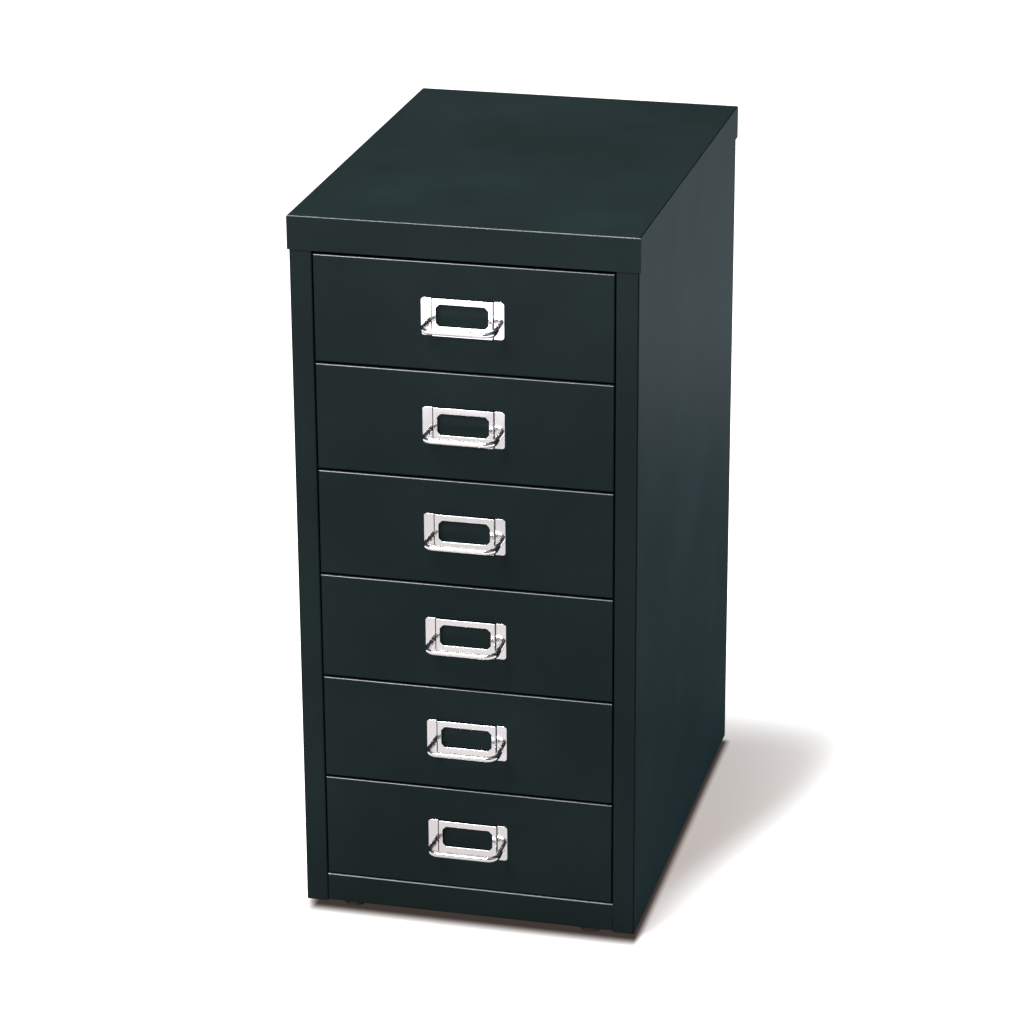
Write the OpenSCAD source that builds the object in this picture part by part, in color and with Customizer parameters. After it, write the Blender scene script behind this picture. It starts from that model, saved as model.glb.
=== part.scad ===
// Small sheet-steel drawer cabinet: a folded body with a cover over its top edge, and
// shallow drawers that slide on riveted channels. Millimetres, +Z up, front towards -Y.
// The origin is on the floor, midway across the width and the depth over the handles.

/* [Overall] */
// Width over the top cover
cabinet_w = 279; // [240:1:330]
// Depth over the top cover
cabinet_d = 400; // [300:1:480]
// Height from the floor to the top
cabinet_h = 593; // [480:1:700]
// Number of drawers
drawer_count = 6; // [3:1:6]

/* [Sheet steel] */
// Thickness of the body's and the drawer fronts' sheet
sheet = 0.8; // [0.6:0.1:1]
// Thickness of the drawer trays' sheet
tray_sheet = 0.7; // [0.5:0.1:1]
// Outside radius of every folded edge
bend_r = 1.5; // [1.2:0.1:2.5]
// Slot between two flanges where they meet at a corner
corner_seam = 0.3; // [0.2:0.1:0.6]

/* [Top cover] */
// Height of the cover's flange
cover_flange = 27.6; // [20:0.1:40]
// Gap between the body and the cover's flange
cover_fit = 0.4; // [0.2:0.1:1]
// Depth of the rail's ledges behind the cover's front flange
rail_depth = 18; // [10:1:40]
// Height of the rail's lower edge above the cover's lower edge
rail_raise = 1.2; // [0.5:0.1:4]

/* [Sides and base] */
// Width of each front post
post_w = 18; // [14:0.5:26]
// Depth of the post's inner return
post_return = 32; // [30:1:50]
// Width of each side's flange at the back
rear_flange = 12; // [8:1:20]
// Height of the kick rail's top edge above the floor
kick_top = 29.1; // [18:0.1:50]
// Distance of the kick rail behind the posts' front
kick_set = 1.5; // [0:0.1:4]
// Gap between the kick rail and each post
kick_seam = 0.3; // [0.2:0.1:1]
// Depth of the ledges that hold the feet
foot_ledge = 26; // [22:1:40]
// Diameter of a rubber foot
foot_d = 18; // [12:1:20]
// Height of the body above the floor
foot_stand = 4.5; // [1:0.1:8]
// Diameter of a foot's stem
foot_stem_d = 6; // [5:0.1:8]
// Diameter of the bulb that holds a foot above its ledge
foot_bulb_d = 9; // [8.4:0.1:12]
// Height of the bulb
foot_bulb_h = 3; // [2:0.1:5]
// Distance of each foot from the kick rail's end
foot_inset = 20; // [12:1:50]

/* [Drawer fronts] */
// Gap above the top drawer front
top_gap = 2.5; // [1:0.1:5]
// Gap between two drawer fronts
drawer_gap = 1.6; // [1:0.1:4]
// Gap under the lowest drawer front
kick_gap = 1.5; // [0.8:0.1:4]
// Gap between a drawer front and each post
side_gap = 1; // [0.8:0.1:3]
// Depth of a folded drawer front
front_depth = 16; // [10:0.5:22]

/* [Drawer trays] */
// Height of a tray's underside above the lower edge of its front
tray_low = 3; // [1:0.1:8]
// Distance from the top edge of the front down to the tray's flange
flange_drop = 9; // [6:0.1:16]
// Margin of the tray's front wall inside the outline of the drawer front
wall_inset = 0.7; // [0.3:0.1:3]
// Space between the back end of a tray and the back of the body
rear_space = 39.6; // [30:0.1:60]

/* [Runners] */
// Thickness of the runner channels
runner_sheet = 1; // [0.8:0.1:1.2]
// Width of a runner channel
runner_w = 9; // [8.5:0.1:12]
// Gap between a tray's side and the runner's lips
lip_play = 1; // [0.5:0.1:2]
// Thickness of the nylon pad at a runner's mouth
pad_t = 1.8; // [1:0.1:3]
// Length of the nylon pad
pad_len = 20; // [12:1:30]
// Room above the tray's flange in the runner
top_play = 2.2; // [1.8:0.1:4]
// Running gap between a drawer and what carries it
run_gap = 0.3; // [0.2:0.05:0.5]
// Length of the nylon shoe at the back of a tray's flange
shoe_len = 20; // [12:1:30]
// Nylon around the outer edge of the flange
shoe_wall = 0.9; // [0.6:0.1:1.5]
// Length of a runner behind its tray
runner_tail = 12; // [6:1:16]
// Overlap of a runner and its rear upright
upright_lap = 18; // [12:1:30]
// Width of the upright's flange against the side
upright_flange = 12; // [8:1:16]

/* [Rivets] */
// Diameter of a rivet's shank
rivet_d = 3; // [2:0.1:3.4]
// Thickness of a rivet's head inside the runner
rivet_head_t = 0.9; // [0.5:0.1:1.2]
// Clearance around a rivet head, all ways
rivet_clear = 0.2; // [0.1:0.05:0.4]
// Distance of the front rivet from the runner's mouth
rivet_inset = 9; // [5:0.5:11]

/* [Label holders] */
// Width of a label holder
label_w = 66; // [56:1:90]
// Height of a label holder
label_h = 30.4; // [24:0.1:40]
// Thickness of its sheet
label_sheet = 0.8; // [0.6:0.1:1]
// Corner radius of the plate
label_corner = 2.4; // [1:0.1:4]
// Width of each flat end
label_tab = 8.4; // [8:0.1:12]
// Height of the raised middle above the flat ends
label_raise = 1.6; // [1:0.1:3]
// Width of the window
window_w = 41.6; // [30:0.1:44]
// Height of the window
window_h = 17.6; // [12:0.1:20]
// Cut corners of the window
window_cut = 3; // [1:0.1:5]
// Height of the window's centre above the plate's centre
window_rise = 1.7; // [0:0.1:2.4]

/* [Handles] */
// Diameter of the handle's wire
wire_d = 4.6; // [3.6:0.1:5]
// Distance from the drawer front to the wire's centre line
handle_reach = 20; // [12:0.5:30]
// Bend radius of the wire's centre line
wire_bend = 8; // [4:0.5:9]
// Distance of each leg from the end of the label holder
leg_inset = 4.7; // [4.5:0.1:7]
// Height of the handle below the plate's centre
handle_drop = 5.9; // [2:0.1:9]
// Radial clearance of the wire in its holes
wire_fit = 0.1; // [0.05:0.01:0.2]
// Diameter of the washers inside the drawer front
washer_d = 11; // [8:0.5:14]
// Thickness of the washers
washer_t = 1; // [0.6:0.1:2]
// Diameter of the wire's upset ends
upset_d = 7; // [6:0.5:9]
// Thickness of the wire's upset ends
upset_t = 1.5; // [0.8:0.1:3]

/* [Hidden] */
drawers = [1 : drawer_count];

cut = 1;             // how far a cutting tool passes the face that it cuts
round_fn = 48;       // facets of a full circle
bend_steps = 5;      // facets of one fold

coat = "#2b3637";
coat_inside = "#232b2c";
chrome = "#d9d6d8";
zinc = "#9fa3a4";
nylon = "#d8d6cc";
rubber = "#191919";

// Body, inside the cover
cover_lap = sheet + cover_fit;
body_w = cabinet_w - 2 * cover_lap;
body_d = cabinet_d - 2 * cover_lap;
cover_under = cabinet_h - sheet;
skin_in = body_w / 2 - sheet;
opening_half = body_w / 2 - post_w;
fold_in = bend_r - sheet;

// Depth: the handles' front and the cover's back are equally far from the origin
handle_out = handle_reach + wire_d / 2;
total_d = handle_out + body_d + cover_lap;
front_y = handle_out - total_d / 2;
back_y = front_y + body_d;
back_in = back_y - sheet;

// Drawer fronts; inside a drawer's own frame y = 0 is the front face, z = 0 its lower edge
drawer_top = cabinet_h - cover_flange - top_gap;
front_half = opening_half - side_gap;
front_h = (drawer_top - kick_top - kick_gap - (drawer_count - 1) * drawer_gap) / drawer_count;

// Runners: x is measured from the middle of the cabinet, y and z in the drawer's frame
web_in = opening_half - runner_sheet;
lip_in = opening_half - runner_w;
tray_half = lip_in - lip_play;
flange_top = front_h - flange_drop;
flange_low = flange_top - tray_sheet;
lip_low = flange_low - run_gap - pad_t;
lip_high = flange_top + top_play;
channel_mid = (lip_low + lip_high) / 2;
head_in = web_in - rivet_head_t;
head_d = lip_high - lip_low - 2 * rivet_clear;
shoe_out = head_in - 2 * rivet_clear;
flange_out = shoe_out - shoe_wall;
runner_start = front_depth + tray_sheet + run_gap;
tray_back = body_d - rear_space;
runner_end = tray_back + runner_tail;
upright_y = runner_end - upright_lap;

// Travel until the shoe would meet the pad, less the play at that stop
stop_play = 1;
drawer_travel = tray_back - shoe_len - runner_start - pad_len - stop_play;
echo(drawer_travel = drawer_travel);

// Handle and label holder
leg_x = label_w / 2 - leg_inset;
leg_hole_d = wire_d + 2 * wire_fit;
plate_z = front_h / 2;
handle_z = plate_z - handle_drop;

// Feet
foot_x = opening_half - kick_seam - foot_inset;

// ---------- Outlines ----------

function unit(v) = v / norm(v);
function left_normal(d) = [-d[1], d[0]];
function direction(path, i) = unit(path[i + 1] - path[i]);

// One side of a bend at path[i]: an arc about the bend's centre, side = 1 left, -1 right
function bend_points(path, i, t, r_in, side) =
    let (
        d1 = direction(path, i - 1),
        d2 = direction(path, i),
        turn = sign(d1[0] * d2[1] - d1[1] * d2[0]),
        angle = acos(max(-1, min(1, d1 * d2))),
        mid_r = r_in + t / 2,
        centre = path[i] - d1 * mid_r * tan(angle / 2) + left_normal(d1) * turn * mid_r,
        start = -turn * left_normal(d1),
        start_angle = atan2(start[1], start[0]),
        r = mid_r - side * turn * t / 2
    )
    [for (k = [0 : bend_steps])
        let (a = start_angle + turn * angle * k / bend_steps)
        centre + r * [cos(a), sin(a)]];

function side_points(path, t, r_in, side) =
    let (last = len(path) - 1)
    concat(
        [path[0] + left_normal(direction(path, 0)) * side * t / 2],
        [for (i = [1 : last - 1]) each bend_points(path, i, t, r_in, side)],
        [path[last] + left_normal(direction(path, last - 1)) * side * t / 2]
    );

function reversed(list) = [for (i = [len(list) - 1 : -1 : 0]) list[i]];

// Section of a folded sheet whose middle follows the path
module folded_sheet(path, t, r_in) {
    polygon(concat(side_points(path, t, r_in, 1), reversed(side_points(path, t, r_in, -1))));
}

// Rectangle below the x axis, w wide and h high, with its two upper corners rounded
module arch(w, h, r) {
    polygon(concat(
        [[-w / 2, -h], [w / 2, -h]],
        [for (k = [0 : bend_steps])
            let (a = 90 * k / bend_steps) [w / 2 - r + r * cos(a), r * sin(a) - r]],
        [for (k = [0 : bend_steps])
            let (a = 90 + 90 * k / bend_steps) [r - w / 2 + r * cos(a), r * sin(a) - r]]
    ));
}

// Block under z = 0 with its four upper edges rounded
module crowned_block(w, d, h, r) {
    intersection() {
        rotate([90, 0, 0]) linear_extrude(d, center = true) arch(w, h, r);
        rotate([90, 0, 90]) linear_extrude(w, center = true) arch(d, h, r);
    }
}

// Flat plate with four flanges folded down from it; a slot parts them at each corner
module folded_pan(w, d, h, t) {
    difference() {
        crowned_block(w, d, h, bend_r);
        translate([0, 0, -t]) crowned_block(w - 2 * t, d - 2 * t, h, bend_r - t);
        for (x = [-1, 1], y = [-1, 1])
            translate([x * w / 2, y * (d / 2 - t - corner_seam / 2), -h / 2 - bend_r])
                cube([2 * t + corner_seam, corner_seam, h], center = true);
    }
}

module rounded_plate(w, h, r) {
    square([w - 2 * r, h], center = true);
    square([w, h - 2 * r], center = true);
    for (x = [-1, 1], y = [-1, 1])
        translate([x * (w / 2 - r), y * (h / 2 - r)]) circle(r, $fn = round_fn);
}

module cut_corner_plate(w, h, c) {
    polygon([
        [-w / 2 + c, -h / 2], [w / 2 - c, -h / 2], [w / 2, -h / 2 + c], [w / 2, h / 2 - c],
        [w / 2 - c, h / 2], [-w / 2 + c, h / 2], [-w / 2, h / 2 - c], [-w / 2, -h / 2 + c]
    ]);
}

// Cylinder along +X or +Y from its start
module bar_x(d, length) rotate([0, 90, 0]) cylinder(h = length, d = d, $fn = round_fn);
module bar_y(d, length) rotate([-90, 0, 0]) cylinder(h = length, d = d, $fn = round_fn);

function drawer_z(i) = drawer_top - i * front_h - (i - 1) * drawer_gap;
module at_drawer(i) translate([0, front_y, drawer_z(i)]) children();

// Mirrors its children to the right-hand side
module right_hand() mirror([1, 0, 0]) children();

// ---------- Body ----------

// Rivet positions along one runner
rivet_ys = [runner_start + rivet_inset, runner_end - upright_lap / 2];

module rivet_holes(y) {
    for (i = drawers)
        at_drawer(i) translate([-opening_half - sheet - cut, y, channel_mid])
            bar_x(rivet_d + rivet_clear, sheet + 2 * cut);
}

module left_side() {
    post_x = -opening_half - sheet / 2;
    skin_x = -body_w / 2 + sheet / 2;
    color(coat) difference() {
        translate([0, 0, foot_stand]) linear_extrude(cover_under - foot_stand)
            folded_sheet([
                [post_x, front_y + post_return],
                [post_x, front_y + sheet / 2],
                [skin_x, front_y + sheet / 2],
                [skin_x, back_y - sheet / 2],
                [skin_x + rear_flange, back_y - sheet / 2]
            ], sheet, fold_in);
        rivet_holes(rivet_ys[0]);
    }
}

module back_panel() {
    half = body_w / 2 - bend_r - cover_fit;
    color(coat)
        translate([-half, back_in - sheet, kick_top]) cube([2 * half, sheet, cover_under - kick_top]);
}

module top_cover() {
    color(coat) translate([0, (front_y + back_y) / 2, cabinet_h])
        folded_pan(cabinet_w, cabinet_d, cover_flange, sheet);
}

// Front and rear flanges with foot ledges under one top plate, between two side flanges
module base_pan() {
    kick_half = opening_half - kick_seam;
    kick_y = front_y + kick_set + sheet / 2;
    notch_y = front_y + post_return + kick_seam;
    low = foot_stand + sheet / 2;
    color(coat) difference() {
        union() {
            rotate([90, 0, 90]) linear_extrude(2 * skin_in, center = true)
                folded_sheet([
                    [front_y + foot_ledge, low],
                    [kick_y, low],
                    [kick_y, kick_top - sheet / 2],
                    [back_in - sheet / 2, kick_top - sheet / 2],
                    [back_in - sheet / 2, low],
                    [back_in - foot_ledge, low]
                ], sheet, fold_in);
            for (x = [-skin_in, skin_in - sheet])
                translate([x, notch_y, foot_stand])
                    cube([sheet, back_in - bend_r - notch_y, kick_top - foot_stand]);
        }
        for (x = [-1, 1]) {
            // clear of the post and its return
            translate([x * (kick_half + post_w), (front_y - cut + notch_y) / 2, kick_top / 2])
                cube([2 * post_w, notch_y - front_y + cut, kick_top + 2 * cut], center = true);
            // clear of the fold at the side's back edge
            translate([x * skin_in, back_in, kick_top / 2])
                cube([2 * bend_r, 2 * bend_r, kick_top + 2 * cut], center = true);
        }
        foot_places() translate([0, 0, foot_stand - cut])
            cylinder(h = sheet + 2 * cut, d = foot_stem_d + 2 * wire_fit, $fn = round_fn);
    }
}

module foot_places() {
    for (x = [-foot_x, foot_x], y = [front_y + foot_ledge / 2, back_in - foot_ledge / 2])
        translate([x, y, 0]) children();
}

// A button with a stem through the ledge and a bulb that holds it there
module feet() {
    color(rubber) foot_places() {
        cylinder(h = foot_stand, d = foot_d, $fn = round_fn);
        cylinder(h = foot_stand + sheet + foot_bulb_h, d = foot_stem_d, $fn = round_fn);
        translate([0, 0, foot_stand + sheet]) cylinder(h = foot_bulb_h, d = foot_bulb_d, $fn = round_fn);
    }
}

// Channel between the posts, behind the cover's front flange
module top_rail() {
    low = cabinet_h - cover_flange + rail_raise + sheet / 2;
    high = cover_under - sheet / 2;
    color(coat) rotate([90, 0, 90]) linear_extrude(2 * opening_half, center = true)
        folded_sheet([
            [front_y + rail_depth, high],
            [front_y + sheet / 2, high],
            [front_y + sheet / 2, low],
            [front_y + rail_depth, low]
        ], sheet, fold_in);
}

// Z section from the base to the cover, which joins the runners' back ends to the side
module rear_upright() {
    inner_x = -opening_half - sheet / 2;
    outer_x = -skin_in + sheet / 2;
    web_y = front_y + runner_end + sheet / 2;
    color(coat_inside) difference() {
        translate([0, 0, kick_top]) linear_extrude(cover_under - kick_top)
            folded_sheet([
                [inner_x, front_y + upright_y],
                [inner_x, web_y],
                [outer_x, web_y],
                [outer_x, web_y + upright_flange]
            ], sheet, fold_in);
        rivet_holes(rivet_ys[1]);
    }
}

// ---------- Runners ----------

// Channel on the left, open towards the drawer
module runner() {
    web_x = -opening_half + runner_sheet / 2;
    low = lip_low - runner_sheet / 2;
    high = lip_high + runner_sheet / 2;
    color(zinc) difference() {
        translate([0, runner_end, 0]) rotate([90, 0, 0]) linear_extrude(runner_end - runner_start)
            folded_sheet([
                [-lip_in, high], [web_x, high], [web_x, low], [-lip_in, low]
            ], runner_sheet, runner_sheet / 3);
        for (y = rivet_ys)
            translate([-opening_half - cut, y, channel_mid])
                bar_x(rivet_d + rivet_clear, runner_sheet + 2 * cut);
    }
}

// Pad on the runner's lower lip, which carries the tray's flange
module runner_glide() {
    translate([-shoe_out, runner_start, lip_low])
        cube([shoe_out - lip_in - rivet_clear, pad_len, pad_t]);
}

module runner_glides() {
    color(nylon) for (i = drawers) at_drawer(i) {
        runner_glide();
        right_hand() runner_glide();
    }
}

module rivet() {
    outer = opening_half + sheet;
    translate([-outer - rivet_head_t, 0, 0]) bar_x(head_d, rivet_head_t);
    translate([-outer - rivet_head_t / 2, 0, 0]) bar_x(rivet_d, outer + rivet_head_t / 2 - head_in);
    translate([-web_in, 0, 0]) bar_x(head_d, rivet_head_t);
}

module runner_rivets() {
    color(zinc) for (i = drawers, y = rivet_ys) at_drawer(i) translate([0, y, channel_mid]) {
        rivet();
        right_hand() rivet();
    }
}

// ---------- Drawer, in its own frame ----------

module leg_holes(y, length) {
    for (x = [-leg_x, leg_x]) translate([x, y, handle_z]) bar_y(leg_hole_d, length);
}

module drawer_front() {
    color(coat) difference() {
        translate([0, 0, front_h / 2]) rotate([90, 0, 0])
            folded_pan(2 * front_half, front_h, front_depth, sheet);
        leg_holes(-cut, sheet + 2 * cut);
    }
}

module tray() {
    side_x = tray_half - tray_sheet / 2;
    flange_z = flange_top - tray_sheet / 2;
    bottom_z = tray_low + tray_sheet / 2;
    color(coat_inside) {
        // bottom, sides and flanges
        translate([0, tray_back, 0]) rotate([90, 0, 0]) linear_extrude(tray_back - front_depth)
            folded_sheet([
                [-flange_out, flange_z], [-side_x, flange_z], [-side_x, bottom_z],
                [side_x, bottom_z], [side_x, flange_z], [flange_out, flange_z]
            ], tray_sheet, fold_in);
        // back wall
        translate([0, tray_back, tray_low]) rotate([90, 0, 0]) linear_extrude(tray_sheet)
            mirror([0, 1, 0]) arch(2 * tray_half, flange_top - tray_low, bend_r);
        // front wall, against the drawer front's flanges
        translate([wall_inset - front_half, front_depth, wall_inset])
            cube([2 * (front_half - wall_inset), tray_sheet, front_h - 2 * wall_inset]);
    }
}

module label_holder() {
    tab_x = label_w / 2 - label_tab;
    tab_y = -label_sheet / 2;
    top_y = tab_y - label_raise;
    color(chrome) translate([0, 0, plate_z]) difference() {
        intersection() {
            union() {
                linear_extrude(label_h, center = true)
                    folded_sheet([
                        [-label_w / 2, tab_y], [-tab_x, tab_y], [label_raise / 2 - tab_x, top_y],
                        [tab_x - label_raise / 2, top_y], [tab_x, tab_y], [label_w / 2, tab_y]
                    ], label_sheet, label_sheet / 4);
                // ledge that carries a card
                translate([label_raise - tab_x, -label_raise - label_sheet / 2, -label_h / 2])
                    cube([2 * (tab_x - label_raise), label_raise + label_sheet / 2, label_sheet]);
            }
            rotate([90, 0, 0]) linear_extrude(4 * (label_raise + label_sheet), center = true)
                rounded_plate(label_w, label_h, label_corner);
        }
        translate([0, 0, window_rise]) rotate([90, 0, 0])
            linear_extrude(4 * (label_raise + label_sheet), center = true)
                cut_corner_plate(window_w, window_h, window_cut);
        translate([0, 0, -plate_z])
            leg_holes(-label_sheet - label_raise - cut, label_sheet + label_raise + 2 * cut);
    }
}

// Wire bent to a U, whose legs end in upset heads behind the washers
module handle() {
    bar_half = leg_x - wire_bend;
    leg_end = sheet + washer_t;
    color(chrome) translate([0, 0, handle_z]) {
        translate([-bar_half, -handle_reach, 0]) bar_x(wire_d, 2 * bar_half);
        for (side = [0, 1]) mirror([side, 0, 0]) {
            translate([bar_half, wire_bend - handle_reach, 0]) rotate([0, 0, -90])
                rotate_extrude(angle = 90, $fn = round_fn)
                    translate([wire_bend, 0]) circle(d = wire_d, $fn = round_fn / 2);
            translate([leg_x, wire_bend - handle_reach, 0])
                bar_y(wire_d, leg_end + handle_reach - wire_bend);
            translate([leg_x, leg_end, 0]) bar_y(upset_d, upset_t);
        }
    }
}

module handle_washers() {
    color(zinc) difference() {
        for (x = [-leg_x, leg_x]) translate([x, sheet, handle_z]) bar_y(washer_d, washer_t);
        leg_holes(sheet - cut, washer_t + 2 * cut);
    }
}

// Shoe at the back end of the flange, which rides in the runner
module drawer_glide() {
    shoe_in = tray_half + lip_play / 2;
    low = lip_low + run_gap;
    difference() {
        translate([-shoe_out, tray_back - shoe_len, low])
            cube([shoe_out - shoe_in, shoe_len, lip_high - run_gap - low]);
        translate([-flange_out, tray_back - shoe_len - cut, flange_low])
            cube([flange_out, shoe_len + 2 * cut, tray_sheet]);
    }
}

module drawer_glides() {
    color(nylon) {
        drawer_glide();
        right_hand() drawer_glide();
    }
}

// ---------- Assembly ----------

left_side();
right_hand() left_side();  // right_side
back_panel();
top_cover();
base_pan();
top_rail();
rear_upright();  // rear_upright_left
right_hand() rear_upright();  // rear_upright_right
feet();
runner_glides();
runner_rivets();
for (i = drawers) at_drawer(i) {
    runner();
    right_hand() runner();
    tray();
    drawer_front();
    label_holder();
    handle();
    handle_washers();
    drawer_glides();
}
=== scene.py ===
"""Small sheet-steel drawer cabinet: the finish of its pieces and the studio around it.

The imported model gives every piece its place. This script dresses the sheet metal, makes the
chrome, the rivets and the feet as finer meshes, and sets up the floor, lights and camera.
"""

import logging
import math
from dataclasses import dataclass
from enum import Enum
from typing import Callable, Mapping, Sequence

import bmesh
import bpy
from mathutils import Matrix, Vector
from mathutils.geometry import tessellate_polygon


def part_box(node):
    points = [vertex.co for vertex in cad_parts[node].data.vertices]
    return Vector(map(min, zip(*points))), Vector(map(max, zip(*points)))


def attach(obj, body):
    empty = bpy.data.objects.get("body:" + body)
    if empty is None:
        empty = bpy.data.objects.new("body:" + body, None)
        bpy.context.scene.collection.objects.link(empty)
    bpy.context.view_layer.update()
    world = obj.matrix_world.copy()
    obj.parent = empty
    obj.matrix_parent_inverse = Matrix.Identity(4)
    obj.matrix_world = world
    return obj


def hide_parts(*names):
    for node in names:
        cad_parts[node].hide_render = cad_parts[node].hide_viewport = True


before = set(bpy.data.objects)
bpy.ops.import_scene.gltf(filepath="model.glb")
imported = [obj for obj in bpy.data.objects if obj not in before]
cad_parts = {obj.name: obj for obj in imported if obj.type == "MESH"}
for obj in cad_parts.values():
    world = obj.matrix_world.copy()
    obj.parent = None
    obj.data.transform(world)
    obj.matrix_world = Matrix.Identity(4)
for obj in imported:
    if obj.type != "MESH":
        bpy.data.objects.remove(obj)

LOG = logging.getLogger("cabinet")
MM = 0.001
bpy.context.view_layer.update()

# The shell's outer corners, which get painted shade: how wide, how soft, and from which x.
CORNER_BAND = 6.0 * MM
CORNER_FADE = 2.0 * MM
CORNER_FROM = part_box("right_side")[1].x - CORNER_BAND

# The label holder's flat ends beside its raised middle, and half its whole width.
TAB_WIDTH = 8.4 * MM
FRAME_HALF_WIDTH = 33.0 * MM

# Least radii: at the axis of a turned piece, in an inset corner, and at the back of a cut edge.
AXIS_GAP = 0.1 * MM
LEAST_CORNER = 0.05 * MM
BACK_EDGE = 0.1 * MM
ROLL_STEPS = 4

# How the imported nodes' facets are cleaned and their edges rounded.
WELD_WITHIN = 0.002 * MM
FLAT_WITHIN = math.radians(0.5)
SHARP_FROM = math.radians(35.0)
EDGE_FACETS = 2
EVEN_WEIGHT = 100

Colour = tuple[float, float, float]
Point = tuple[float, float, float]
Pair = tuple[float, float]
Pairs = list[Pair]
Loop = Callable[[float], Pairs]

BLACK = (0.0, 0.0, 0.0)
BLACK_PAINT = (0.0085, 0.0158, 0.0162)


# ---------------------------------------------------------------- shader maths


class Value:
    """A shader socket on which Python's arithmetic adds Math nodes."""

    def __init__(self, shader: "Shader", socket: bpy.types.NodeSocket) -> None:
        """Wraps one output socket of a shader's tree."""
        self.shader = shader
        self.socket = socket

    def __add__(self, other: "Input") -> "Value":
        """Adds two values."""
        return self.shader.math("ADD", self, other)

    def __sub__(self, other: "Input") -> "Value":
        """Subtracts a value from this one."""
        return self.shader.math("SUBTRACT", self, other)

    def __rsub__(self, other: "Input") -> "Value":
        """Subtracts this value from another."""
        return self.shader.math("SUBTRACT", other, self)

    def __mul__(self, other: "Input") -> "Value":
        """Multiplies two values."""
        return self.shader.math("MULTIPLY", self, other)

    def __abs__(self) -> "Value":
        """Drops the value's sign."""
        return self.shader.math("ABSOLUTE", self)

    __radd__ = __add__
    __rmul__ = __mul__


Input = Value | float | Sequence[float]
Tint = Value | Colour


class Shader:
    """The node tree of one material or of the world, built from expressions."""

    def __init__(self, owner: "bpy.types.Material | bpy.types.World") -> None:
        """Starts an empty tree.

        Args:
            owner: the material or world that the tree belongs to.
        """
        owner.use_nodes = True
        self.tree = owner.node_tree
        self.tree.nodes.clear()

    def node(
        self,
        kind: str,
        settings: "Mapping[str, object] | None" = None,
        inputs: "Mapping[str | int, Input] | None" = None,
    ) -> bpy.types.Node:
        """Adds one node.

        Args:
            kind: Blender's name of the node's type.
            settings: properties of the node, set first; "stops" fills a colour ramp.
            inputs: a value or link for each socket, by name or number.

        Returns:
            The new node.
        """
        added = self.tree.nodes.new(kind)
        for name, value in (settings or {}).items():
            if name == "stops":
                self.fill_ramp(added.color_ramp, value)
            else:
                setattr(added, name, value)
        for name, value in (inputs or {}).items():
            self.feed(added.inputs[name], value)
        return added

    @staticmethod
    def fill_ramp(ramp: bpy.types.ColorRamp, stops: Sequence[Pair]) -> None:
        """Gives a ramp its grey stops.

        Args:
            ramp: the ramp, which has two stops to begin with.
            stops: (place, level) pairs.
        """
        while len(ramp.elements) < len(stops):
            ramp.elements.new(1.0)
        for element, (place, level) in zip(ramp.elements, stops):
            element.position = place
            element.color = (level, level, level, 1.0)

    def feed(self, socket: bpy.types.NodeSocket, value: Input) -> None:
        """Links a value to a socket, or sets the socket's own number or colour.

        Args:
            socket: the input socket.
            value: what goes in.
        """
        if isinstance(value, Value):
            self.tree.links.new(value.socket, socket)
        elif socket.type == "RGBA":
            socket.default_value = (*value, 1.0)
        else:
            socket.default_value = value

    def value(self, node: bpy.types.Node, output: "str | int" = 0) -> Value:
        """Wraps one output of a node."""
        return Value(self, node.outputs[output])

    def math(self, operation: str, *terms: Input) -> Value:
        """Adds a Math node on one to three terms."""
        inputs = dict(enumerate(terms))
        return self.value(self.node("ShaderNodeMath", {"operation": operation}, inputs))

    def place(self) -> Value:
        """The point on the piece, in its own metres."""
        return self.value(self.node("ShaderNodeTexCoord"), "Object")

    def parts(self, vector: Value) -> tuple[Value, Value, Value]:
        """Splits a vector into its three numbers."""
        split = self.node("ShaderNodeSeparateXYZ", None, {0: vector})
        return self.value(split, 0), self.value(split, 1), self.value(split, 2)

    def noise(self, scale: float, detail: float) -> Value:
        """Adds a noise around 0.5, with scale waves to the metre and detail octaves."""
        inputs = {"Vector": self.place(), "Scale": scale, "Detail": detail}
        return self.value(self.node("ShaderNodeTexNoise", None, inputs), 0)

    def ramp(self, value: Value, low: float, high: float) -> Value:
        """Steps a value softly, from 0 at low to 1 at high.

        Args:
            value: the value.
            low: where the step starts, which may lie above high.
            high: where it ends.

        Returns:
            The step's value.
        """
        inputs = {"Value": value, "From Min": low, "From Max": high}
        smooth = {"clamp": True, "interpolation_type": "SMOOTHSTEP"}
        return self.value(self.node("ShaderNodeMapRange", smooth, inputs))

    def blend(self, share: Input, first: Tint, second: Tint) -> Value:
        """Mixes two colours by a share of the second."""
        inputs = {0: share, 6: first, 7: second}
        return self.value(self.node("ShaderNodeMix", {"data_type": "RGBA"}, inputs), 2)

    def bump(self, height: Value, depth: float, under: "Value | None" = None) -> Value:
        """Turns a height from 0 to 1 into a normal.

        Args:
            height: the relief.
            depth: the relief's full depth in metres.
            under: a coarser normal that it lies on.

        Returns:
            The normal.
        """
        inputs = {"Height": height, "Distance": depth, "Strength": 1.0}
        if under is not None:
            inputs["Normal"] = under
        return self.value(self.node("ShaderNodeBump", None, inputs))

    def either(self, share: Value, first: Value, second: Value) -> Value:
        """Mixes two shaders by a share of the second."""
        return self.value(self.node("ShaderNodeMixShader", None, {0: share, 1: first, 2: second}))

    def principled(self, inputs: Mapping[str, Input]) -> Value:
        """Adds a Principled shader."""
        return self.value(self.node("ShaderNodeBsdfPrincipled", None, inputs))

    def finish(self, shader: Value) -> None:
        """Ends a material in a shader."""
        self.node("ShaderNodeOutputMaterial", None, {"Surface": shader})


# ---------------------------------------------------------------- finishes


def scaled(colour: Colour, factor: float) -> Colour:
    """A colour made lighter or darker by a factor."""
    return colour[0] * factor, colour[1] * factor, colour[2] * factor


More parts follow.
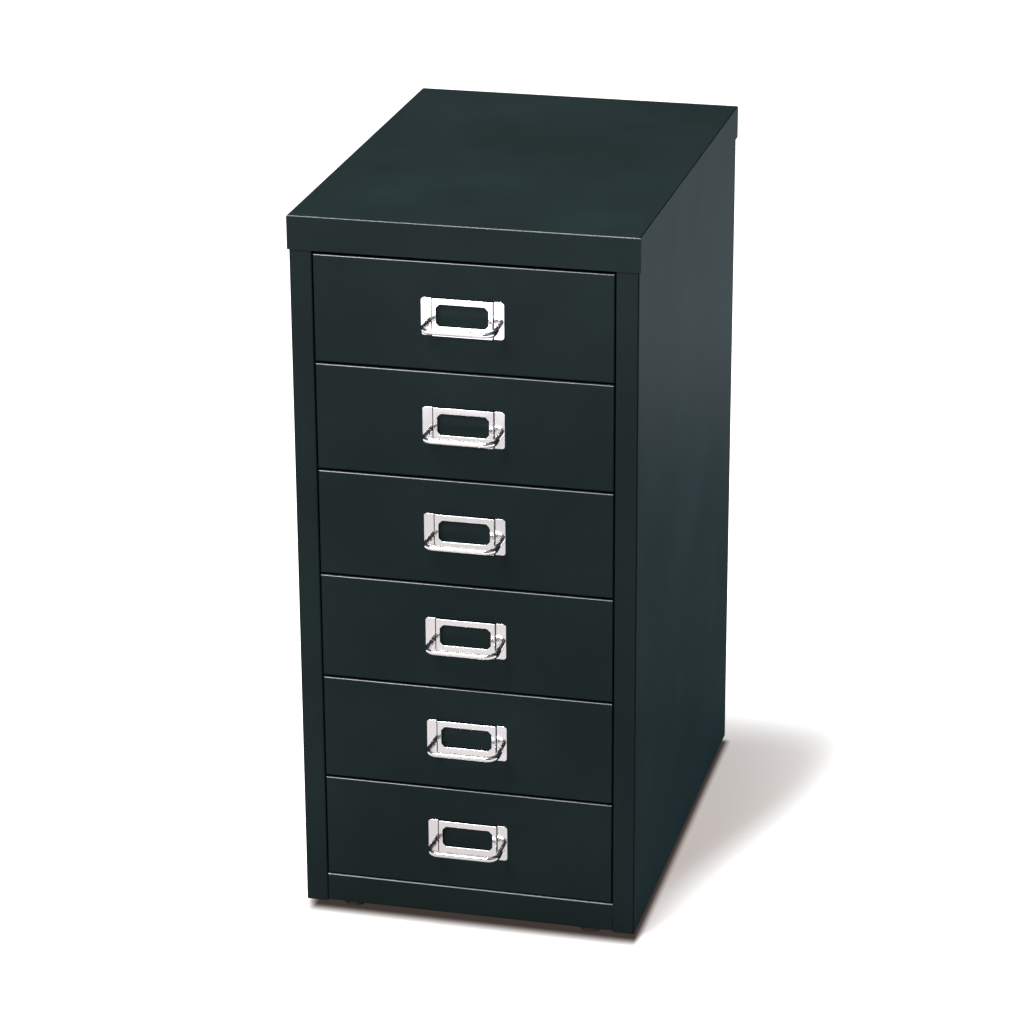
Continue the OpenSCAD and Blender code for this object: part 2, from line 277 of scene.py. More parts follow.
@dataclass(frozen=True)
class PowderCoat:
    """Stoved black powder paint: a fine orange peel over rolled sheet.

    A film gives flat sheet its gloss. Folds that face up and forward, towards the lamps, get a
    painted highlight of extra coat and a highlight colour, and the shell's outer corners get
    painted shade. Cloud, speck, peel and grain are noises, each as waves to the metre and octaves;
    the pairs for the highlight, the corner and the mottle say where a soft step starts and ends.
    """

    name: str
    colour: Colour = BLACK_PAINT
    roughness: float = 0.5
    film: float = 0.075
    film_roughness: float = 0.3
    film_ior: float = 1.8
    # Extra coat on folds facing the lamps, where they reach, and the colour there: a painted highlight.
    fold_highlight: float = 0.9
    highlight_reach: Pair = (0.2, 0.45)
    highlight_colour: Colour = BLACK_PAINT
    # Where the painted shade on the shell's outer corners falls, and how dark it is.
    corner: Pair = (0.14, 0.24)
    corner_shade: float = 0.6
    cloud: Pair = (9.0, 4.0)
    speck: Pair = (1500.0, 2.0)
    speck_share: float = 0.3
    mottle: Pair = (0.35, 0.75)
    paler: float = 1.5
    cloud_rough: float = 0.14
    speck_rough: float = 0.1
    peel: Pair = (520.0, 2.0)
    peel_depth: float = 0.012 * MM
    grain: Pair = (2600.0, 1.0)
    grain_depth: float = 0.003 * MM

    def folds(self, shader: Shader) -> tuple[Value, Value]:
        """Where the sheet is folded.

        Args:
            shader: the paint's shader.

        Returns:
            Two masks, 1 in the middle of a fold and 0 on flat sheet: folds that face up and forward,
            towards the lamps, which take a painted highlight, and the shell's outer corners, which
            take painted shade.
        """
        facing = shader.value(shader.node("ShaderNodeTexCoord"), "Normal")
        sideways, forward, upward = shader.parts(facing)
        # Folds turned up and forward face the lamps and take a painted highlight.
        turned_up = shader.math("MAXIMUM", upward, 0.0) * shader.math("MAXIMUM", forward * -1.0, 0.0)
        # Folds turned sideways near the shell's outer sides take painted shade.
        turned_side = abs(sideways) * (1.0 - abs(sideways))
        across, _, _ = shader.parts(shader.place())
        outer = shader.ramp(abs(across), CORNER_FROM, CORNER_FROM + CORNER_FADE)
        return shader.ramp(turned_up, *self.highlight_reach), shader.ramp(turned_side, *self.corner) * outer

    def material(self) -> bpy.types.Material:
        """Builds the paint.

        Returns:
            The material.
        """
        material = bpy.data.materials.new(self.name)
        shader = Shader(material)
        noises = (self.cloud, self.speck, self.peel, self.grain)
        cloud, speck, peel, grain = (shader.noise(*noise) for noise in noises)
        mottle = shader.ramp(cloud * (1.0 - self.speck_share) + speck * self.speck_share, *self.mottle)
        highlighted_folds, shaded_corners = self.folds(shader)
        dry = shader.blend(mottle, self.colour, scaled(self.colour, self.paler))
        # Painted shade: the shell's outer corners turn darker.
        flat = shader.blend(shaded_corners, dry, scaled(self.colour, 1.0 - self.corner_shade))
        # Painted highlight: lamp-facing folds get extra coat and the highlight colour; painted shade takes
        # the film off the outer corners.
        shader.finish(shader.principled({
            "Base Color": shader.blend(highlighted_folds, flat, self.highlight_colour),
            "Roughness": self.roughness + (cloud - 0.5) * self.cloud_rough + (speck - 0.5) * self.speck_rough,
            "Specular IOR Level": 0.0,
            "Coat Weight": self.film * (1.0 - shaded_corners * self.corner_shade) + highlighted_folds * self.fold_highlight,
            "Coat Roughness": self.film_roughness,
            "Coat IOR": self.film_ior,
            "Normal": shader.bump(grain, self.grain_depth, shader.bump(peel, self.peel_depth)),
        }))
        return material


@dataclass(frozen=True)
class Plating:
    """A metal plate on steel, bright for chrome and duller for zinc.

    Wave, haze and crystal are noises, each as waves to the metre and octaves. A crease is a line
    of painted shade along the foot of each step, at the same distance from the middle on both
    sides, or none at 0.
    """

    name: str
    colour: Colour
    roughness: float
    wave_depth: float
    wave: Pair = (45.0, 1.0)
    haze: Pair = (60.0, 4.0)
    haze_rough: float = 0.9
    crystal: Pair = (900.0, 2.0)
    crystal_reach: Pair = (0.4, 0.65)
    spangle: float = 0.0
    crease_x: float = 0.0
    crease_half: float = 0.7 * MM
    crease_core: float = 0.3
    crease_shade_colour: Colour = (0.014, 0.012, 0.011)

    def material(self) -> bpy.types.Material:
        """Builds the plating.

        Returns:
            The material.
        """
        material = bpy.data.materials.new(self.name)
        shader = Shader(material)
        haze, wave, crystal = (shader.noise(*noise) for noise in (self.haze, self.wave, self.crystal))
        spangled = shader.ramp(crystal, *self.crystal_reach)
        colour = shader.blend(spangled, self.colour, scaled(self.colour, 1.0 - self.spangle))
        # Painted shade: a dark line along the foot of each step, where the crease lies in shade.
        if self.crease_x:
            across, _, _ = shader.parts(shader.place())
            off_crease = abs(abs(across) - self.crease_x)
            line = shader.ramp(off_crease, self.crease_half, self.crease_half * self.crease_core)
            colour = shader.blend(line, colour, self.crease_shade_colour)
        shader.finish(shader.principled({
            "Base Color": colour,
            "Metallic": 1.0,
            "Roughness": self.roughness + (haze - 0.5) * self.roughness * self.haze_rough,
            "Normal": shader.bump(wave, self.wave_depth),
        }))
        return material


@dataclass(frozen=True)
class Moulded:
    """A moulded nylon or rubber piece; grain and cloud are noises as in the paint."""

    name: str
    colour: Colour
    roughness: float
    grain: Pair
    grain_depth: float
    cloud: Pair = (70.0, 3.0)
    cloud_reach: Pair = (0.35, 0.65)
    cloud_rough: float = 0.2
    darker: float = 0.8
    gloss: float = 0.4

    def material(self) -> bpy.types.Material:
        """Builds the moulded finish.

        Returns:
            The material.
        """
        material = bpy.data.materials.new(self.name)
        shader = Shader(material)
        cloud, grain = shader.noise(*self.cloud), shader.noise(*self.grain)
        clouded = shader.ramp(cloud, *self.cloud_reach)
        shader.finish(shader.principled({
            "Base Color": shader.blend(clouded, self.colour, scaled(self.colour, self.darker)),
            "Roughness": self.roughness + (cloud - 0.5) * self.cloud_rough,
            "Specular IOR Level": self.gloss,
            "Normal": shader.bump(grain, self.grain_depth),
        }))
        return material


class Finish(Enum):
    """The finishes, each with the look of one kind of piece."""

    BODY_COAT = PowderCoat("powder_coat_body")
    # The cover's painted highlight is narrower, the base's top fold gets a pale painted highlight, the fronts
    # get no painted corner shade, and the inside gets no painted highlight.
    COVER_COAT = PowderCoat("powder_coat_cover", highlight_reach=(0.44, 0.49))
    KICK_COAT = PowderCoat("powder_coat_base", highlight_colour=(0.29, 0.33, 0.34))
    FRONT_COAT = PowderCoat("powder_coat_fronts", corner_shade=0.0)
    INNER_COAT = PowderCoat("powder_coat_inside", (0.0075, 0.0135, 0.0138), 0.58, fold_highlight=0.0)
    CHROME = Plating("chrome_plate", (0.9, 0.88, 0.89), 0.1, 0.002 * MM)
    FRAME_CHROME = Plating("chrome_card_frame", (0.93, 0.9, 0.92), 0.1, 0.006 * MM,
                           crease_x=FRAME_HALF_WIDTH - TAB_WIDTH)
    ZINC = Plating("zinc_plate", (0.6, 0.61, 0.62), 0.32, 0.01 * MM, spangle=0.18)
    NYLON = Moulded("natural_nylon", (0.66, 0.64, 0.57), 0.45, (1200.0, 2.0), 0.006 * MM)
    RUBBER = Moulded("moulded_rubber", (0.05, 0.04, 0.036), 0.75, (1800.0, 2.0), 0.01 * MM)

    @property
    def slot(self) -> str:
        """The record's name for the finish."""
        coats = {name: "body_coat" for name in ("COVER_COAT", "KICK_COAT", "FRONT_COAT")}
        return {**coats, "FRAME_CHROME": "chrome"}.get(self.name, self.name.lower())


class Paintbox:
    """Makes each finish's material once and hands it out."""

    def __init__(self) -> None:
        """Starts with no material made."""
        self.made: dict[Finish, bpy.types.Material] = {}

    def apply(self, piece: bpy.types.Object, finish: Finish) -> None:
        """Gives a piece one finish.

        Args:
            piece: the object.
            finish: its finish.
        """
        if finish not in self.made:
            self.made[finish] = finish.value.material()
        piece.data.materials.clear()
        piece.data.materials.append(self.made[finish])


# ---------------------------------------------------------------- mesh tools


def new_mesh(name: str, form: bmesh.types.BMesh, smooth: bool = True) -> bpy.types.Mesh:
    """Turns a bmesh into a mesh.

    Args:
        name: the mesh's name.
        form: its geometry, which is freed.
        smooth: whether its faces shade smoothly.

    Returns:
        The mesh.
    """
    bmesh.ops.recalc_face_normals(form, faces=form.faces)
    mesh = bpy.data.meshes.new(name)
    form.to_mesh(mesh)
    form.free()
    mesh.polygons.foreach_set("use_smooth", [smooth] * len(mesh.polygons))
    return mesh


def new_piece(name: str, mesh: bpy.types.Mesh, place: "Vector | None" = None) -> bpy.types.Object:
    """Puts a mesh into the scene.

    Args:
        name: the piece's name.
        mesh: its mesh, which pieces may share.
        place: where its own origin goes.

    Returns:
        The object.
    """
    piece = bpy.data.objects.new(name, mesh)
    piece.location = place or Vector()
    bpy.context.scene.collection.objects.link(piece)
    return piece


def even_normals(piece: bpy.types.Object) -> None:
    """Keeps flats flat and lets roundings shade smoothly.

    Args:
        piece: the object.
    """
    weighted = piece.modifiers.new("even_normals", "WEIGHTED_NORMAL")
    weighted.mode = "FACE_AREA"
    weighted.weight = EVEN_WEIGHT


def round_edges(piece: bpy.types.Object, width: float) -> None:
    """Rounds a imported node's sharp edges and shades its folds smoothly, with modifiers alone.

    Args:
        piece: the node's object.
        width: the rounding's width in metres.
    """
    weld = piece.modifiers.new("weld", "WELD")
    weld.merge_threshold = WELD_WITHIN
    flat = piece.modifiers.new("flat", "DECIMATE")
    flat.decimate_type = "DISSOLVE"
    flat.angle_limit = FLAT_WITHIN
    bevel = piece.modifiers.new("rounded", "BEVEL")
    bevel.width = width
    bevel.segments = EDGE_FACETS
    bevel.limit_method = "ANGLE"
    bevel.angle_limit = SHARP_FROM
    even_normals(piece)
    piece.data.polygons.foreach_set("use_smooth", [True] * len(piece.data.polygons))


def dress_node(name: str, finish: Finish, edge: float, paint: Paintbox) -> None:
    """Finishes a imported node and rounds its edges.

    Args:
        name: the node.
        finish: its finish.
        edge: the rounding's width in metres.
        paint: makes the finish's material.
    """
    paint.apply(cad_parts[name], finish)
    round_edges(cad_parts[name], edge)
    LOG.info("%s dressed", name)


def ride_on(piece: bpy.types.Object, body: str, finish: Finish, paint: Paintbox, *nodes: str) -> None:
    """Fixes a new piece to its body, with its finish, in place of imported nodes.

    Args:
        piece: the new piece.
        body: the body that carries it.
        finish: its finish.
        paint: makes the finish's material.
        nodes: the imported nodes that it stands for.
    """
    paint.apply(piece, finish)
    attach(piece, body)
    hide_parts(*nodes)
    LOG.info("%s rides on %s", piece.name, body)


def ring_skin(form: bmesh.types.BMesh, rings: Sequence[Sequence[Vector]]) -> None:
    """Joins equal rings of points by quads, and closes the first and the last.

    Args:
        form: takes the faces.
        rings: the rings, in order.
    """
    made = [[form.verts.new(point) for point in ring] for ring in rings]
    count = len(made[0])
    for near, far in zip(made, made[1:]):
        for i in range(count):
            j = (i + 1) % count
            form.faces.new((near[i], near[j], far[j], far[i]))
    form.faces.new(made[0])
    form.faces.new(reversed(made[-1]))


def turned(form: bmesh.types.BMesh, profile: Pairs, place: Matrix, sides: int) -> None:
    """Adds a turned solid.

    Args:
        form: takes the faces.
        profile: (radius, height) pairs along the local Z axis, from end to end.
        place: where the local axes lie.
        sides: facets around.
    """
    turns = [math.tau * i / sides for i in range(sides)]
    ring_skin(form, [
        [place @ Vector((radius * math.cos(turn), radius * math.sin(turn), height)) for turn in turns]
        for radius, height in profile
    ])


def arc(radius: float, centre: Pair, start: float, end: float, steps: int) -> Pairs:
    """Points along an arc.

    Args:
        radius: its radius.
        centre: its centre.
        start: first angle in degrees.
        end: last angle in degrees.
        steps: spans between points.

    Returns:
        The points.
    """
    turns = [math.radians(start + (end - start) * i / steps) for i in range(steps + 1)]
    return [(centre[0] + radius * math.cos(turn), centre[1] + radius * math.sin(turn)) for turn in turns]


def rounded_box_loop(width: float, height: float, corner: float, steps: int = 6) -> Loop:
    """An outline with round corners, as a function of its inset.

    Args:
        width: full width.
        height: full height.
        corner: corner radius.
        steps: spans in each corner.

    Returns:
        The function from inset to points.
    """
    def loop(inset: float) -> Pairs:
        """Outline moved inwards.

        Args:
            inset: how far.

        Returns:
            Its points.
        """
        radius = max(corner - inset, LEAST_CORNER)
        x, y = width / 2 - inset - radius, height / 2 - inset - radius
        return [
            point for i, centre in enumerate(((x, y), (-x, y), (-x, -y), (x, -y)))
            for point in arc(radius, centre, 90 * i, 90 * i + 90, steps)
        ]
    return loop


def cut_corner_loop(width: float, height: float, cut: float, rise: float, soft: float = 0.5 * MM) -> Loop:
    """A window with cut corners, as a function of how far its edge moves into the plate.

    Args:
        width: full width.
        height: full height.
        cut: how far each corner is cut.
        rise: height of its middle.
        soft: half length of the blend at each end of a cut.

    Returns:
        The function from the edge's move to points.
    """
    def loop(move: float) -> Pairs:
        """Window made larger all round.

        Args:
            move: how far its edge moves.

        Returns:
            Its points.
        """
        x, y = width / 2 + move, height / 2 + move
        cut_x, cut_y = (side - cut - move * (2 - math.sqrt(2)) for side in (x, y))
        slant = soft / math.sqrt(2)
        bow_in, bow_along = slant * 0.3, soft * 0.2
        side_end = [(x, cut_y - soft), (x - bow_in, cut_y - bow_along), (x - slant, cut_y + slant)]
        top_end = [(cut_x + slant, y - slant), (cut_x - bow_along, y - bow_in), (cut_x - soft, y)]
        corner = side_end + top_end
        points = []
        for right, up in ((1, 1), (-1, 1), (-1, -1), (1, -1)):
            run = corner if right == up else corner[::-1]
            points += [(right * px, rise + up * py) for px, py in run]
        return points
    return loop


def circle_loop(diameter: float, centre: Pair, steps: int = 28) -> Loop:
    """A round hole, as a function of how far its edge moves into the plate.

    Args:
        diameter: the hole's diameter.
        centre: its centre.
        steps: points around.

    Returns:
        The function from the edge's move to points.
    """
    def loop(move: float) -> Pairs:
        """Hole made larger."""
        return arc(diameter / 2 + move, centre, 0, 360 - 360 / steps, steps - 1)
    return loop


def rolled_edge(roll: float, depth: float, wall: float = 0.0, lip: float = 0.0) -> Pairs:
    """An edge's section as (inset, depth) pairs from the front face to the back face.

    Args:
        roll: radius of the rounded front edge.
        depth: the sheet's thickness.
        wall: thickness of a turned-in lip, or 0 for a plain cut edge.
        lip: how far the lip goes past the sheet's back.

    Returns:
        The pairs.
    """
    front = arc(roll, (roll, roll), 270, 180, ROLL_STEPS)
    small = min(BACK_EDGE, depth / 4)
    if not lip:
        return front + [(0.0, depth - small), (small * 0.3, depth - small * 0.3), (small, depth)]
    return front + [(0.0, depth + lip - small), (small, depth + lip), (wall - small, depth + lip),
                    (wall, depth + lip - small), (wall, depth)]


def pressed_plate(outline: tuple[Loop, Pairs], holes: Sequence[tuple[Loop, Pairs]]) -> bmesh.types.BMesh:
    """A sheet with holes, its front face at y = 0 and its back behind it, with worked edges.

    Args:
        outline: the outer loop and its edge section.
        holes: each hole's loop and edge section.

    Returns:
        The plate, in the XZ plane, facing -Y.
    """
    form = bmesh.new()
    ends = ([], [])
    for loop, section in (outline, *holes):
        rings = [[form.verts.new((x, depth, z)) for x, z in loop(inset)] for inset, depth in section]
        for near, far in zip(rings, rings[1:]):
            for i in range(len(near)):
                form.faces.new((near[i - 1], near[i], far[i], far[i - 1]))
        ends[0].append(rings[0])
        ends[1].append(rings[-1])
    for rings in ends:
        corners = [vert for ring in rings for vert in ring]
        for triangle in tessellate_polygon([[(v.co.x, v.co.z, 0.0) for v in ring] for ring in rings]):
            form.faces.new([corners[i] for i in triangle])
    return form


def smooth_step(value: float, low: float, high: float) -> float:
    """0 below low, 1 above high, and a soft step between."""
    share = min(max((value - low) / (high - low), 0.0), 1.0)
    return share * share * (3 - 2 * share)


# ---------------------------------------------------------------- carcass, runners and feet


@dataclass
class Carcass:
    """The welded shell: sides, back, cover, base, rail and rear uprights."""

    paint: Paintbox
    edge: float = 0.16 * MM
    cover: tuple[str, ...] = ("top_cover",)
    base: tuple[str, ...] = ("base_pan",)
    outside: tuple[str, ...] = ("left_side", "right_side", "back_panel", "top_rail")
    inside: tuple[str, ...] = ("rear_upright_left", "rear_upright_right")

    def dress(self) -> None:
        """Paints the shell."""
        coats = (
            (self.cover, Finish.COVER_COAT), (self.base, Finish.KICK_COAT),
            (self.outside, Finish.BODY_COAT), (self.inside, Finish.INNER_COAT),
        )
        for names, finish in coats:
            for name in names:
                dress_node(name, finish, self.edge, self.paint)


@dataclass
class Runners:
    """Zinc-plated channels with nylon glides, riveted to the posts and rear uprights."""

    paint: Paintbox
    edge: float = 0.14 * MM
    glide_edge: float = 0.5 * MM
    rivet_inset: float = 9.0 * MM
    post_sheet: float = 0.8 * MM
    channel_sheet: float = 1.0 * MM
    head_thick: float = 0.9 * MM
    shank: float = 3.0 * MM
    sides: int = 24

    def dress(self) -> None:
        """Finishes the channels and glides."""
        looks = {"runner_glides": (Finish.NYLON, self.glide_edge)}
        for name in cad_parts:
            if name.startswith("runner_") and name != "runner_rivets":
                dress_node(name, *looks.get(name, (Finish.ZINC, self.edge)), self.paint)

    def rivet_profile(self, head: float) -> Pairs:
        """The outside of a rivet, from its head in the channel to its head behind the post.

        Args:
            head: the heads' radius.

        Returns:
            (radius, height) pairs, with height 0 where the channel meets the post.
        """
        inner, outer = self.channel_sheet, -self.post_sheet
        dome = [(head, 0.0), (head, 0.25), (head * 0.93, 0.55), (head * 0.78, 0.82), (head * 0.55, 0.96)]
        hollow = [(head * 0.3, 1.0), (head * 0.24, 0.93), (head * 0.16, 0.62), (AXIS_GAP, 0.55)]
        set_head = [(radius, inner + share * self.head_thick) for radius, share in reversed(dome + hollow)]
        made_head = [(radius, outer - share * self.head_thick) for radius, share in dome]
        shank = [(self.shank / 2, inner), (self.shank / 2, outer)]
        return set_head + shank + made_head + [(AXIS_GAP, outer - self.head_thick)]

    def build(self) -> None:
        """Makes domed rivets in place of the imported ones."""
        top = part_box("runner_left_1")
        profile = self.rivet_profile(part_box("runner_rivets")[1].z - (top[0].z + top[1].z) / 2)
        form = bmesh.new()
        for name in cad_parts:
            hand = {"runner_left": 1, "runner_right": -1}.get(name.rpartition("_")[0])
            if hand:
                low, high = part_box(name)
                web = low.x if hand > 0 else high.x
                for y in (low.y + self.rivet_inset, high.y - self.rivet_inset):
                    place = Matrix.Translation((web, y, (low.z + high.z) / 2))
                    turned(form, profile, place @ Matrix.Rotation(hand * math.pi / 2, 4, "Y"), self.sides)
        rivets = new_piece("domed_rivets", new_mesh("domed_rivets", form))
        even_normals(rivets)
        ride_on(rivets, "cabinet", Finish.ZINC, self.paint, "runner_rivets")


@dataclass
class Feet:
    """Four rubber buttons, each with a bevelled tread, a ring groove and a barbed stem."""

    paint: Paintbox
    diameter: float = 18.0 * MM
    stem: float = 6.0 * MM
    bulb: float = 9.0 * MM
    groove: float = 0.25 * MM
    sheet: float = 0.8 * MM
    sides: int = 48

    def profile(self, stand: float, top: float) -> Pairs:
        """The outside of a foot.

        Args:
            stand: height of the ledge that it carries.
            top: height of its bulb's end.

        Returns:
            (radius, height) pairs from the tread to the bulb.
        """
        tread, stem, bulb = self.diameter / 2, self.stem / 2, self.bulb / 2
        ledge, rise = stand + self.sheet, top - stand - self.sheet
        return [
            (AXIS_GAP, 0.0), (tread * 0.42, 0.0),
            (tread * 0.46, self.groove), (tread * 0.54, self.groove),
            (tread * 0.58, 0.0), (tread * 0.88, 0.0), (tread * 0.95, 0.1 * MM), (tread * 0.99, 0.35 * MM),
            (tread, 0.7 * MM), (tread, stand - 0.6 * MM), (tread * 0.98, stand - 0.2 * MM),
            (tread * 0.94, stand), (stem, stand), (stem, ledge),
            (bulb * 0.96, ledge), (bulb, ledge + rise * 0.08), (bulb * 0.96, ledge + rise * 0.3),
            (bulb * 0.62, ledge + rise * 0.9), (bulb * 0.5, top), (AXIS_GAP, top),
        ]

    def build(self) -> None:
        """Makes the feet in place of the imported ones."""
        low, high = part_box("feet")
        profile = self.profile(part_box("base_pan")[0].z, high.z)
        inset = self.diameter / 2
        form = bmesh.new()
        for x in (low.x + inset, high.x - inset):
            for y in (low.y + inset, high.y - inset):
                turned(form, profile, Matrix.Translation((x, y, 0.0)), self.sides)
        feet = new_piece("button_feet", new_mesh("button_feet", form))
        even_normals(feet)
        ride_on(feet, "cabinet", Finish.RUBBER, self.paint, "feet")


# ---------------------------------------------------------------- drawers


@dataclass
class CardFrame:
    """Chrome label holder: a pressed plate whose raised middle holds a card behind its window."""

    width: float
    height: float
    raise_by: float
    rise_of_legs: float
    leg_x: float
    sheet: float = 0.8 * MM
    corner: float = 2.4 * MM
    tab: float = TAB_WIDTH
    step: float = 0.9 * MM
    window_width: float = 41.6 * MM
    window_height: float = 17.6 * MM
    window_cut: float = 3.0 * MM
    window_rise: float = 1.7 * MM
    outer_roll: float = 0.3 * MM
    window_roll: float = 0.35 * MM
    hole_roll: float = 0.12 * MM
    lip: float = 0.7 * MM
    lip_wall: float = 0.45 * MM
    leg_hole: float = 4.8 * MM
    ledge_fold: float = 1.0 * MM
    ledge_sheet: float = 0.64 * MM
    ledge_off: float = 0.03 * MM
    ledge_steps: int = 5
    bands: int = 6

    def mesh(self) -> bpy.types.Mesh:
        """Presses the plate.

        Returns:
            Its mesh, with the origin at the middle of the drawer's face behind it.
        """
        window = cut_corner_loop(self.window_width, self.window_height, self.window_cut, self.window_rise)
        legs = [circle_loop(self.leg_hole, (side * self.leg_x, self.rise_of_legs)) for side in (-1, 1)]
        outside = rounded_box_loop(self.width, self.height, self.corner)
        form = pressed_plate(
            (outside, rolled_edge(self.outer_roll, self.sheet)),
            [(window, rolled_edge(self.window_roll, self.sheet, self.lip_wall, self.lip))]
            + [(leg, rolled_edge(self.hole_roll, self.sheet)) for leg in legs],
        )
        foot = self.width / 2 - self.tab
        for side in (-1, 1):
            for i in range(self.bands + 1):
                x = side * (foot - self.step * i / self.bands)
                everything = [*form.verts, *form.edges, *form.faces]
                bmesh.ops.bisect_plane(form, geom=everything, plane_co=(x, 0, 0), plane_no=(1, 0, 0))
        for vert in form.verts:
            raised = smooth_step(foot - abs(vert.co.x), 0.0, self.step)
            vert.co.y -= self.sheet + raised * self.raise_by
        self.ledge(form, foot - self.step - self.raise_by / 2)
        return new_mesh("card_frame", form)

    def ledge(self, form: bmesh.types.BMesh, half: float) -> None:
        """Adds the folded ledge under the raised middle, which carries a card.

        Args:
            form: takes its faces.
            half: half its length.
        """
        front, foot = -self.raise_by - self.sheet / 2, -self.height / 2
        middle = (front + self.ledge_fold, foot + self.ledge_fold)
        outer = arc(self.ledge_fold, middle, 180, 270, self.ledge_steps)
        inner = arc(self.ledge_fold - self.ledge_sheet, middle, 270, 180, self.ledge_steps)
        section = outer + [(-self.ledge_off, foot), (-self.ledge_off, foot + self.ledge_sheet)] + inner
        ring_skin(form, [[Vector((x, y, z)) for y, z in section] for x in (-half, half)])


@dataclass
class Pull:
    """Chrome wire handle, whose legs end in upset heads inside the drawer front."""

    half_span: float
    reach: float
    head_back: float
    wire: float = 4.6 * MM
    bend: float = 8.0 * MM
    head: float = 7.0 * MM
    head_thick: float = 1.5 * MM
    bend_steps: int = 14
    sides: int = 36

    def mesh(self) -> bpy.types.Mesh:
        """Bends the wire.

        Returns:
            Its mesh, with the origin on the drawer's face midway between the legs.
        """
        radius, head = self.wire / 2, self.head / 2
        neck = self.head_back - self.head_thick
        bulge = [
            (self.head_back, 0.2 * MM), (self.head_back - 0.02 * MM, head * 0.5),
            (self.head_back - 0.15 * MM, head * 0.8), (self.head_back - 0.45 * MM, head * 0.97),
            (self.head_back - 0.8 * MM, head), (neck + 0.1 * MM, head * 0.97), (neck, head * 0.9),
            (neck, radius), (neck - 0.2 * MM, radius),
        ]
        stops = [((-self.half_span, y), 0.0, size) for y, size in bulge]
        centre = (-self.half_span + self.bend, -self.reach + self.bend)
        for i, point in enumerate(arc(self.bend, centre, 180.0, 270.0, self.bend_steps)):
            stops.append((point, 90.0 * i / self.bend_steps, radius))
        mirrored = [((-x, y), 180.0 - turn, size) for (x, y), turn, size in reversed(stops)]
        around = [math.tau * i / self.sides for i in range(self.sides)]
        rings = []
        for (x, y), turn, size in stops + mirrored:
            across = Vector((math.cos(math.radians(turn)), math.sin(math.radians(turn)), 0.0))
            rings.append([
                Vector((x, y, size * math.sin(a))) + across * (size * math.cos(a)) for a in around
            ])
        form = bmesh.new()
        ring_skin(form, rings)
        return new_mesh("pull", form)


@dataclass
class Drawers:
    """Six drawers, each a folded front on a tray, with a card frame and a pull."""

    paint: Paintbox
    count: int = 6
    edge: float = 0.16 * MM
    shoe_edge: float = 0.5 * MM

    def dress(self) -> None:
        """Finishes the sheet metal, washers and glides of every drawer."""
        finishes = {
            "front": (Finish.FRONT_COAT, self.edge), "tray": (Finish.INNER_COAT, self.edge),
            "handle_washers": (Finish.ZINC, self.edge), "drawer_glides": (Finish.NYLON, self.shoe_edge),
        }
        for i in range(1, self.count + 1):
            for kind, (finish, edge) in finishes.items():
                dress_node(f"{kind}_{i}", finish, edge, self.paint)

    def build(self) -> None:
        """Makes the chrome of every drawer."""
        plate_low, plate_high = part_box("label_holder_1")
        wire_low, wire_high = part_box("handle_1")
        face_y = plate_high.y
        plate_z = (plate_low.z + plate_high.z) / 2
        wire_z = (wire_low.z + wire_high.z) / 2
        half_span = (wire_high.x - wire_low.x) / 2 - Pull.head / 2
        frame_mesh = CardFrame(
            plate_high.x - plate_low.x, plate_high.z - plate_low.z,
            plate_high.y - plate_low.y - CardFrame.sheet, wire_z - plate_z, half_span,
        ).mesh()
        pull_mesh = Pull(half_span, face_y - wire_low.y - Pull.wire / 2, wire_high.y - face_y).mesh()
        for i in range(1, self.count + 1):
            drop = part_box(f"front_{i}")[0].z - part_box("front_1")[0].z
            card = new_piece(f"card_frame_{i}", frame_mesh, Vector((0.0, face_y, plate_z + drop)))
            pull = new_piece(f"pull_{i}", pull_mesh, Vector((0.0, face_y, wire_z + drop)))
            dressed = ((card, Finish.FRAME_CHROME, "label_holder"), (pull, Finish.CHROME, "handle"))
            for piece, finish, node in dressed:
                even_normals(piece)
                ride_on(piece, f"drawer_{i}", finish, self.paint, f"{node}_{i}")


# ---------------------------------------------------------------- the studio


@dataclass(frozen=True)
class SoftBox:
    """A soft box that faces the cabinet.

    Its way is the direction from the cabinet to it, and at level 1 it looks white.
    """

    name: str
    way: Point
    distance: float
    size: Pair
    level: float
    colour: Colour = (1.0, 1.0, 1.0)


